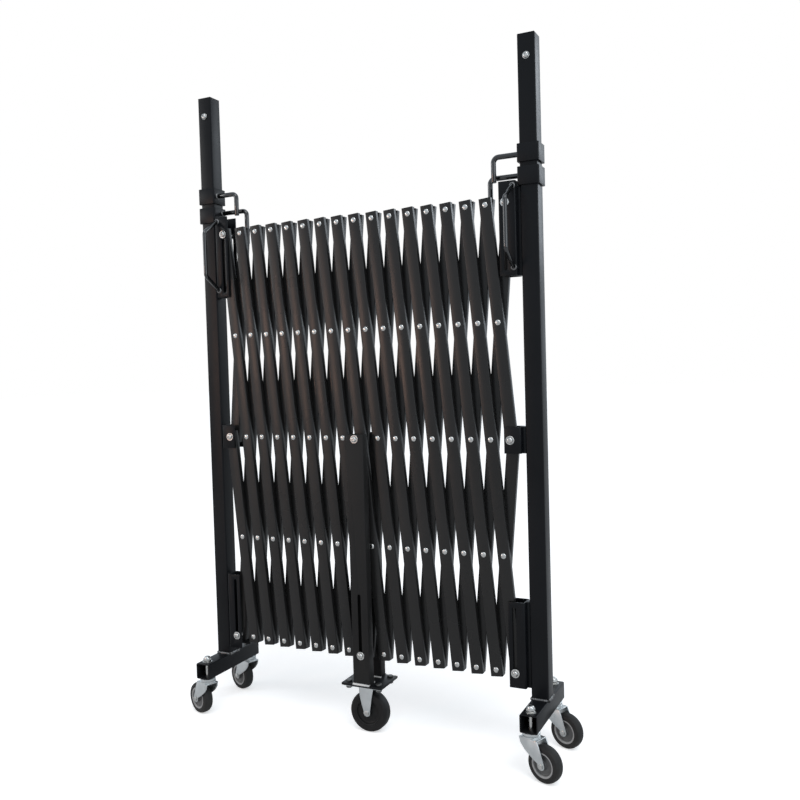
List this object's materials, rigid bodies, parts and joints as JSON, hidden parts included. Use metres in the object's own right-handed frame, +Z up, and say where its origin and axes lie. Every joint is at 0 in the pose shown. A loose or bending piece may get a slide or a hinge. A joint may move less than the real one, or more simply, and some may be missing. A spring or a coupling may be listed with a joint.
{
  "type": "expandable barrier",
  "caption": "Black expandable safety barrier: a riveted scissor lattice between two square posts on swivel casters, with a wheeled middle leg, pull handles and linking hooks",
  "frame": {"origin": "on the floor under the middle of the barrier", "axes": "+X along the barrier to its right end, +Y from front to back, +Z up"},
  "size_m": [1.0244, 0.2554, 1.615],
  "materials": {
    "black_coat": "satin black powder coat on steel",
    "bright_zinc": "bright zinc plated fasteners",
    "fork_zinc": "zinc plated pressed sheet",
    "wheel_rubber": "black rubber tyre on a grey hub"
  },
  "bodies": {
    "base": {"middle_leg": "black_coat", "caster_plate": "black_coat", "leg_bolts": "bright_zinc", "middle_fork": "fork_zinc"},
    "front_00": {"front_slat_00": "black_coat"},
    "rear_00": {"rear_slat_00": "black_coat"},
    "front_01": {"front_slat_01": "black_coat"},
    "rear_01": {"rear_slat_01": "black_coat"},
    "front_02": {"front_slat_02": "black_coat"},
    "rear_02": {"rear_slat_02": "black_coat"},
    "front_03": {"front_slat_03": "black_coat"},
    "rear_03": {"rear_slat_03": "black_coat"},
    "front_04": {"front_slat_04": "black_coat"},
    "rear_04": {"rear_slat_04": "black_coat"},
    "front_05": {"front_slat_05": "black_coat"},
    "rear_05": {"rear_slat_05": "black_coat"},
    "front_06": {"front_slat_06": "black_coat"},
    "rear_06": {"rear_slat_06": "black_coat"},
    "front_07": {"front_slat_07": "black_coat"},
    "rear_07": {"rear_slat_07": "black_coat"},
    "front_08": {"front_slat_08": "black_coat"},
    "rear_08": {"rear_slat_08": "black_coat"},
    "front_09": {"front_slat_09": "black_coat"},
    "rear_09": {"rear_slat_09": "black_coat"},
    "front_10": {"front_slat_10": "black_coat"},
    "rear_10": {"rear_slat_10": "black_coat"},
    "front_11": {"front_slat_11": "black_coat"},
    "rear_11": {"rear_slat_11": "black_coat"},
    "front_12": {"front_slat_12": "black_coat"},
    "rear_12": {"rear_slat_12": "black_coat"},
    "front_13": {"front_slat_13": "black_coat"},
    "rear_13": {"rear_slat_13": "black_coat"},
    "front_14": {"front_slat_14": "black_coat"},
    "rear_14": {"rear_slat_14": "black_coat"},
    "front_15": {"front_slat_15": "black_coat"},
    "rear_15": {"rear_slat_15": "black_coat"},
    "front_16": {"front_slat_16": "black_coat"},
    "rear_16": {"rear_slat_16": "black_coat"},
    "left_end": {"left_post": "black_coat", "left_beam": "black_coat", "left_brackets": "black_coat", "left_handle": "black_coat", "left_caster_stems": "bright_zinc"},
    "left_hooks": {"left_link_hooks": "black_coat"},
    "left_front_caster": {"left_front_fork": "fork_zinc"},
    "left_front_roller": {"left_front_wheel": "wheel_rubber"},
    "left_rear_caster": {"left_rear_fork": "fork_zinc"},
    "left_rear_roller": {"left_rear_wheel": "wheel_rubber"},
    "right_end": {"right_post": "black_coat", "right_beam": "black_coat", "right_brackets": "black_coat", "right_handle": "black_coat", "right_caster_stems": "bright_zinc"},
    "right_hooks": {"right_link_hooks": "black_coat"},
    "right_front_caster": {"right_front_fork": "fork_zinc"},
    "right_front_roller": {"right_front_wheel": "wheel_rubber"},
    "right_rear_caster": {"right_rear_fork": "fork_zinc"},
    "right_rear_roller": {"right_rear_wheel": "wheel_rubber"},
    "middle_roller": {"middle_wheel": "wheel_rubber"}
  },
  "joints": [
    {"name": "fold", "type": "hinge", "parent": "base", "child": "front_08", "pos_m": [0, -0.01, 0.726], "axis": [0, -1, 0], "range_deg": [-2, 38]},
    {"name": "rear_08_turn", "type": "hinge", "parent": "base", "child": "rear_08", "pos_m": [0, -0.01, 0.726], "axis": [0, -1, 0], "range_deg": [-38, 2]},
    {"name": "front_07_turn", "type": "hinge", "parent": "rear_08", "child": "front_07", "pos_m": [-0.02397, -0.01, 0.46259], "axis": [0, -1, 0], "range_deg": [-4, 76]},
    {"name": "rear_07_turn", "type": "hinge", "parent": "front_08", "child": "rear_07", "pos_m": [-0.02397, -0.01, 0.98941], "axis": [0, -1, 0], "range_deg": [-76, 4]},
    {"name": "front_09_turn", "type": "hinge", "parent": "rear_08", "child": "front_09", "pos_m": [0.02397, -0.01, 0.98941], "axis": [0, -1, 0], "range_deg": [-4, 76]},
    {"name": "rear_09_turn", "type": "hinge", "parent": "front_08", "child": "rear_09", "pos_m": [0.02397, -0.01, 0.46259], "axis": [0, -1, 0], "range_deg": [-76, 4]},
    {"name": "front_06_turn", "type": "hinge", "parent": "rear_08", "child": "front_06", "pos_m": [-0.04795, -0.01, 0.19918], "axis": [0, -1, 0], "range_deg": [-4, 76]},
    {"name": "rear_06_turn", "type": "hinge", "parent": "front_08", "child": "rear_06", "pos_m": [-0.04795, -0.01, 1.25282], "axis": [0, -1, 0], "range_deg": [-76, 4]},
    {"name": "front_10_turn", "type": "hinge", "parent": "rear_08", "child": "front_10", "pos_m": [0.04795, -0.01, 1.25282], "axis": [0, -1, 0], "range_deg": [-4, 76]},
    {"name": "rear_10_turn", "type": "hinge", "parent": "front_08", "child": "rear_10", "pos_m": [0.04795, -0.01, 0.19918], "axis": [0, -1, 0], "range_deg": [-76, 4]},
    {"name": "front_05_turn", "type": "hinge", "parent": "rear_06", "child": "front_05", "pos_m": [-0.11986, -0.01, 0.46259], "axis": [0, -1, 0], "range_deg": [-4, 76]},
    {"name": "rear_05_turn", "type": "hinge", "parent": "front_06", "child": "rear_05", "pos_m": [-0.11986, -0.01, 0.98941], "axis": [0, -1, 0], "range_deg": [-76, 4]},
    {"name": "front_11_turn", "type": "hinge", "parent": "rear_10", "child": "front_11", "pos_m": [0.11986, -0.01, 0.98941], "axis": [0, -1, 0], "range_deg": [-4, 76]},
    {"name": "rear_11_turn", "type": "hinge", "parent": "front_10", "child": "rear_11", "pos_m": [0.11986, -0.01, 0.46259], "axis": [0, -1, 0], "range_deg": [-76, 4]},
    {"name": "front_04_turn", "type": "hinge", "parent": "rear_06", "child": "front_04", "pos_m": [-0.14383, -0.01, 0.19918], "axis": [0, -1, 0], "range_deg": [-4, 76]},
    {"name": "rear_04_turn", "type": "hinge", "parent": "front_06", "child": "rear_04", "pos_m": [-0.14383, -0.01, 1.25282], "axis": [0, -1, 0], "range_deg": [-76, 4]},
    {"name": "front_12_turn", "type": "hinge", "parent": "rear_10", "child": "front_12", "pos_m": [0.14383, -0.01, 1.25282], "axis": [0, -1, 0], "range_deg": [-4, 76]},
    {"name": "rear_12_turn", "type": "hinge", "parent": "front_10", "child": "rear_12", "pos_m": [0.14383, -0.01, 0.19918], "axis": [0, -1, 0], "range_deg": [-76, 4]},
    {"name": "front_03_turn", "type": "hinge", "parent": "rear_04", "child": "front_03", "pos_m": [-0.21575, -0.01, 0.46259], "axis": [0, -1, 0], "range_deg": [-4, 76]},
    {"name": "rear_03_turn", "type": "hinge", "parent": "front_04", "child": "rear_03", "pos_m": [-0.21575, -0.01, 0.98941], "axis": [0, -1, 0], "range_deg": [-76, 4]},
    {"name": "front_13_turn", "type": "hinge", "parent": "rear_12", "child": "front_13", "pos_m": [0.21575, -0.01, 0.98941], "axis": [0, -1, 0], "range_deg": [-4, 76]},
    {"name": "rear_13_turn", "type": "hinge", "parent": "front_12", "child": "rear_13", "pos_m": [0.21575, -0.01, 0.46259], "axis": [0, -1, 0], "range_deg": [-76, 4]},
    {"name": "front_02_turn", "type": "hinge", "parent": "rear_04", "child": "front_02", "pos_m": [-0.23972, -0.01, 0.19918], "axis": [0, -1, 0], "range_deg": [-4, 76]},
    {"name": "rear_02_turn", "type": "hinge", "parent": "front_04", "child": "rear_02", "pos_m": [-0.23972, -0.01, 1.25282], "axis": [0, -1, 0], "range_deg": [-76, 4]},
    {"name": "front_14_turn", "type": "hinge", "parent": "rear_12", "child": "front_14", "pos_m": [0.23972, -0.01, 1.25282], "axis": [0, -1, 0], "range_deg": [-4, 76]},
    {"name": "rear_14_turn", "type": "hinge", "parent": "front_12", "child": "rear_14", "pos_m": [0.23972, -0.01, 0.19918], "axis": [0, -1, 0], "range_deg": [-76, 4]},
    {"name": "front_01_turn", "type": "hinge", "parent": "rear_02", "child": "front_01", "pos_m": [-0.31164, -0.01, 0.46259], "axis": [0, -1, 0], "range_deg": [-4, 76]},
    {"name": "rear_01_turn", "type": "hinge", "parent": "front_02", "child": "rear_01", "pos_m": [-0.31164, -0.01, 0.98941], "axis": [0, -1, 0], "range_deg": [-76, 4]},
    {"name": "front_15_turn", "type": "hinge", "parent": "rear_14", "child": "front_15", "pos_m": [0.31164, -0.01, 0.98941], "axis": [0, -1, 0], "range_deg": [-4, 76]},
    {"name": "rear_15_turn", "type": "hinge", "parent": "front_14", "child": "rear_15", "pos_m": [0.31164, -0.01, 0.46259], "axis": [0, -1, 0], "range_deg": [-76, 4]},
    {"name": "front_00_turn", "type": "hinge", "parent": "rear_02", "child": "front_00", "pos_m": [-0.33561, -0.01, 0.19918], "axis": [0, -1, 0], "range_deg": [-4, 76]},
    {"name": "rear_00_turn", "type": "hinge", "parent": "front_02", "child": "rear_00", "pos_m": [-0.33561, -0.01, 1.25282], "axis": [0, -1, 0], "range_deg": [-76, 4]},
    {"name": "front_16_turn", "type": "hinge", "parent": "rear_14", "child": "front_16", "pos_m": [0.33561, -0.01, 1.25282], "axis": [0, -1, 0], "range_deg": [-4, 76]},
    {"name": "rear_16_turn", "type": "hinge", "parent": "front_14", "child": "rear_16", "pos_m": [0.33561, -0.01, 0.19918], "axis": [0, -1, 0], "range_deg": [-76, 4]},
    {"name": "left_end_level", "type": "hinge", "parent": "front_00", "child": "left_end", "pos_m": [-0.38356, -0.01, 0.726], "axis": [0, -1, 0], "range_deg": [-38, 2]},
    {"name": "left_hooks_lift", "type": "slide", "parent": "left_end", "child": "left_hooks", "axis": [0, 0, 1], "range_m": [0, 0.17]},
    {"name": "left_front_swivel", "type": "hinge", "parent": "left_end", "child": "left_front_caster", "pos_m": [-0.43656, -0.09, 0.096], "axis": [0, 0, 1], "continuous": true},
    {"name": "left_front_roll", "type": "hinge", "parent": "left_front_caster", "child": "left_front_roller", "pos_m": [-0.47039, -0.07769, 0.04], "axis": [-0.342, -0.9397, 0], "continuous": true},
    {"name": "left_rear_swivel", "type": "hinge", "parent": "left_end", "child": "left_rear_caster", "pos_m": [-0.43656, 0.09, 0.096], "axis": [0, 0, 1], "continuous": true},
    {"name": "left_rear_roll", "type": "hinge", "parent": "left_rear_caster", "child": "left_rear_roller", "pos_m": [-0.47039, 0.10231, 0.04], "axis": [-0.342, -0.9397, 0], "continuous": true},
    {"name": "right_end_level", "type": "hinge", "parent": "front_16", "child": "right_end", "pos_m": [0.38356, -0.01, 0.726], "axis": [0, -1, 0], "range_deg": [-38, 2]},
    {"name": "right_hooks_lift", "type": "slide", "parent": "right_end", "child": "right_hooks", "axis": [0, 0, 1], "range_m": [0, 0.17]},
    {"name": "right_front_swivel", "type": "hinge", "parent": "right_end", "child": "right_front_caster", "pos_m": [0.43656, -0.09, 0.096], "axis": [0, 0, 1], "continuous": true},
    {"name": "right_front_roll", "type": "hinge", "parent": "right_front_caster", "child": "right_front_roller", "pos_m": [0.47039, -0.10231, 0.04], "axis": [0.342, 0.9397, 0], "continuous": true},
    {"name": "right_rear_swivel", "type": "hinge", "parent": "right_end", "child": "right_rear_caster", "pos_m": [0.43656, 0.09, 0.096], "axis": [0, 0, 1], "continuous": true},
    {"name": "right_rear_roll", "type": "hinge", "parent": "right_rear_caster", "child": "right_rear_roller", "pos_m": [0.47039, 0.07769, 0.04], "axis": [0.342, 0.9397, 0], "continuous": true},
    {"name": "middle_roll", "type": "hinge", "parent": "base", "child": "middle_roller", "pos_m": [0, -0.01, 0.05], "axis": [0, 1, 0], "continuous": true}
  ],
  "couplings": [
    {"joint": "rear_08_turn", "follows": "fold", "ratio": -1},
    {"joint": "front_07_turn", "follows": "fold", "ratio": 2},
    {"joint": "rear_07_turn", "follows": "fold", "ratio": -2},
    {"joint": "front_09_turn", "follows": "fold", "ratio": 2},
    {"joint": "rear_09_turn", "follows": "fold", "ratio": -2},
    {"joint": "front_06_turn", "follows": "fold", "ratio": 2},
    {"joint": "rear_06_turn", "follows": "fold", "ratio": -2},
    {"joint": "front_10_turn", "follows": "fold", "ratio": 2},
    {"joint": "rear_10_turn", "follows": "fold", "ratio": -2},
    {"joint": "front_05_turn", "follows": "fold", "ratio": 2},
    {"joint": "rear_05_turn", "follows": "fold", "ratio": -2},
    {"joint": "front_11_turn", "follows": "fold", "ratio": 2},
    {"joint": "rear_11_turn", "follows": "fold", "ratio": -2},
    {"joint": "front_04_turn", "follows": "fold", "ratio": 2},
    {"joint": "rear_04_turn", "follows": "fold", "ratio": -2},
    {"joint": "front_12_turn", "follows": "fold", "ratio": 2},
    {"joint": "rear_12_turn", "follows": "fold", "ratio": -2},
    {"joint": "front_03_turn", "follows": "fold", "ratio": 2},
    {"joint": "rear_03_turn", "follows": "fold", "ratio": -2},
    {"joint": "front_13_turn", "follows": "fold", "ratio": 2},
    {"joint": "rear_13_turn", "follows": "fold", "ratio": -2},
    {"joint": "front_02_turn", "follows": "fold", "ratio": 2},
    {"joint": "rear_02_turn", "follows": "fold", "ratio": -2},
    {"joint": "front_14_turn", "follows": "fold", "ratio": 2},
    {"joint": "rear_14_turn", "follows": "fold", "ratio": -2},
    {"joint": "front_01_turn", "follows": "fold", "ratio": 2},
    {"joint": "rear_01_turn", "follows": "fold", "ratio": -2},
    {"joint": "front_15_turn", "follows": "fold", "ratio": 2},
    {"joint": "rear_15_turn", "follows": "fold", "ratio": -2},
    {"joint": "front_00_turn", "follows": "fold", "ratio": 2},
    {"joint": "rear_00_turn", "follows": "fold", "ratio": -2},
    {"joint": "front_16_turn", "follows": "fold", "ratio": 2},
    {"joint": "rear_16_turn", "follows": "fold", "ratio": -2},
    {"joint": "left_end_level", "follows": "fold", "ratio": -1},
    {"joint": "right_end_level", "follows": "fold", "ratio": -1}
  ]
}
